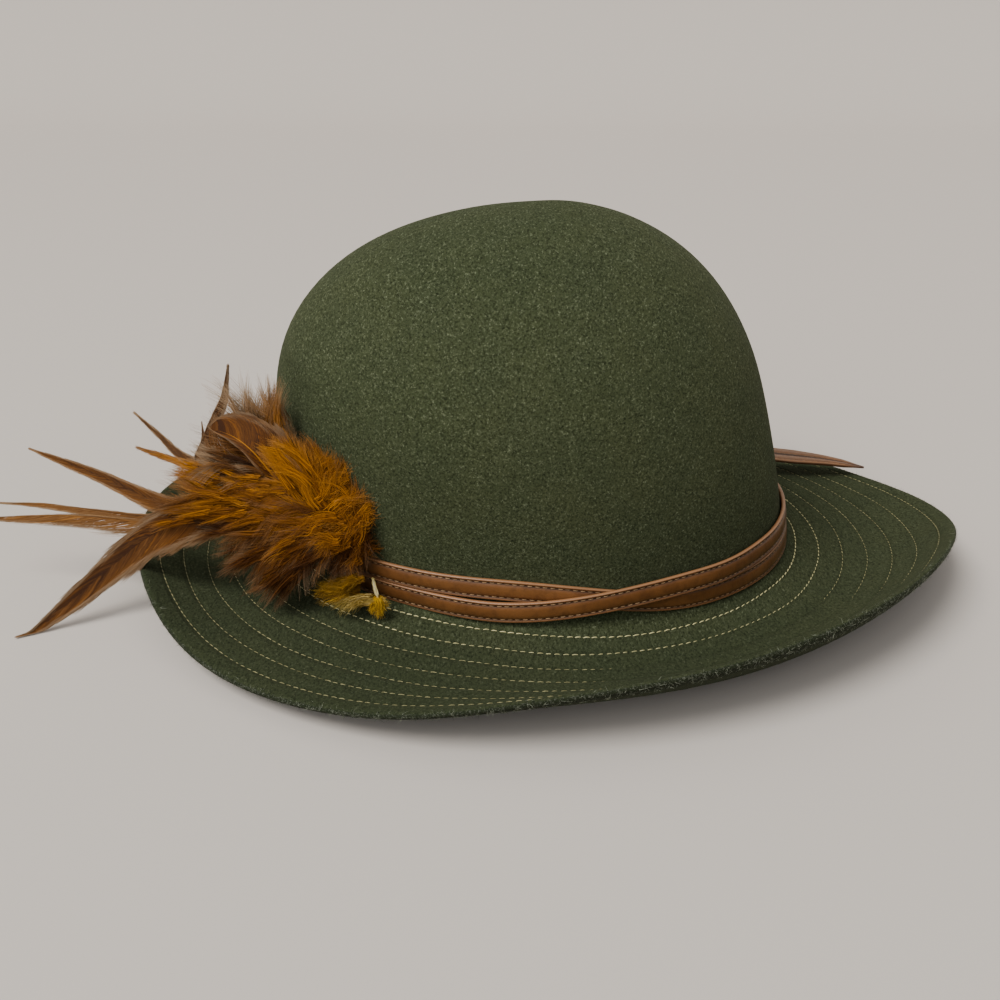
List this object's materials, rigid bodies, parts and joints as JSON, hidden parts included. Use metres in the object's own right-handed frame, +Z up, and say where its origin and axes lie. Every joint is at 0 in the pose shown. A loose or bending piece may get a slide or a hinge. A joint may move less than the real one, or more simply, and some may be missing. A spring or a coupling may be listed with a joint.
{
  "type": "felt hat",
  "caption": "Felt hat with a round smooth crown, a wide waved brim sewn in rings, crossed leather straps with a tie behind, and a feather plume at one side.",
  "frame": {"origin": "on the floor, under the middle of the hat's bounding box", "axes": "+Z up through the crown, +X along the head opening's length from the plume towards the tie, +Y from the side seen in the picture towards the far side"},
  "size_m": [0.3906, 0.305, 0.1429],
  "materials": {
    "felt": "dark olive green wool felt, heathered, matt, with fine raised fibres",
    "strap_leather": "tan brown leather, half matt, padded, stitched along both edges",
    "plume_feather": "soft dyed feathers, rust and orange brown with darker tips",
    "yellow_feather": "soft dyed feather down, yellow"
  },
  "bodies": {
    "root": {"felt_body": "felt", "strap_inner": "strap_leather", "strap_outer": "strap_leather", "strap_tie": "strap_leather", "feather_plume": "plume_feather", "feather_tuft": "yellow_feather"}
  },
  "joints": []
}
